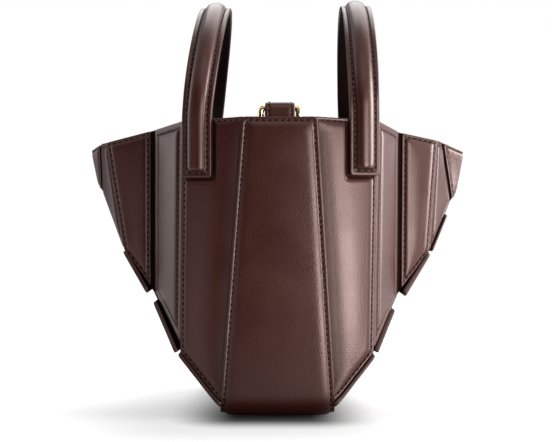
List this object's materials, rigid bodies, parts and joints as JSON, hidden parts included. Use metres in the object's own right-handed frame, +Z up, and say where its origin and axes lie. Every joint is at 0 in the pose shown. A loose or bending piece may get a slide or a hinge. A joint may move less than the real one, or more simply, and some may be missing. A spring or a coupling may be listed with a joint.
{
  "type": "tote bag",
  "caption": "Structured leather tote with a padded centre strip, concertina side panels on keel boards, rolled top handles and hanging strap rings.",
  "frame": {"origin": "on the floor under the middle of the base", "axes": "+Z up; +X to the right in the picture, across the bag from wing tip to wing tip; +Y away from the viewer, along the handles, so the front faces -Y"},
  "size_m": [0.2729, 0.206, 0.2918],
  "materials": {
    "leather": "smooth satin chestnut leather with tone-on-tone stitching",
    "lining": "matt dark lining leather",
    "gold_metal": "polished pale gold plating"
  },
  "bodies": {
    "bag": {"centre_strip": "leather", "panel_left_front_1": "leather", "panel_left_front_2": "leather", "panel_left_front_3": "leather", "panel_left_front_4": "leather", "panel_left_back_1": "leather", "panel_left_back_2": "leather", "panel_left_back_3": "leather", "panel_left_back_4": "leather", "panel_right_front_1": "leather", "panel_right_front_2": "leather", "panel_right_front_3": "leather", "panel_right_front_4": "leather", "panel_right_back_1": "leather", "panel_right_back_2": "leather", "panel_right_back_3": "leather", "panel_right_back_4": "leather", "wing_tip_left": "leather", "wing_tip_right": "leather", "keel_left_1": "leather", "keel_left_2": "leather", "keel_left_3": "leather", "keel_left_4": "leather", "keel_right_1": "leather", "keel_right_2": "leather", "keel_right_3": "leather", "keel_right_4": "leather", "handle_left": "leather", "handle_right": "leather", "ring_tab_front": "leather", "ring_tab_back": "leather", "handle_lining_left": "lining", "handle_lining_right": "lining"},
    "front_ring": {"strap_ring_front": "gold_metal"},
    "back_ring": {"strap_ring_back": "gold_metal"}
  },
  "joints": [
    {"name": "front_ring_swing", "type": "hinge", "parent": "bag", "child": "front_ring", "pos_m": [0.0016, -0.0914, 0.2092], "axis": [1, 0, 0], "range_deg": [0, 180]},
    {"name": "back_ring_swing", "type": "hinge", "parent": "bag", "child": "back_ring", "pos_m": [0.0016, 0.0914, 0.2092], "axis": [-1, 0, 0], "range_deg": [0, 180]}
  ]
}
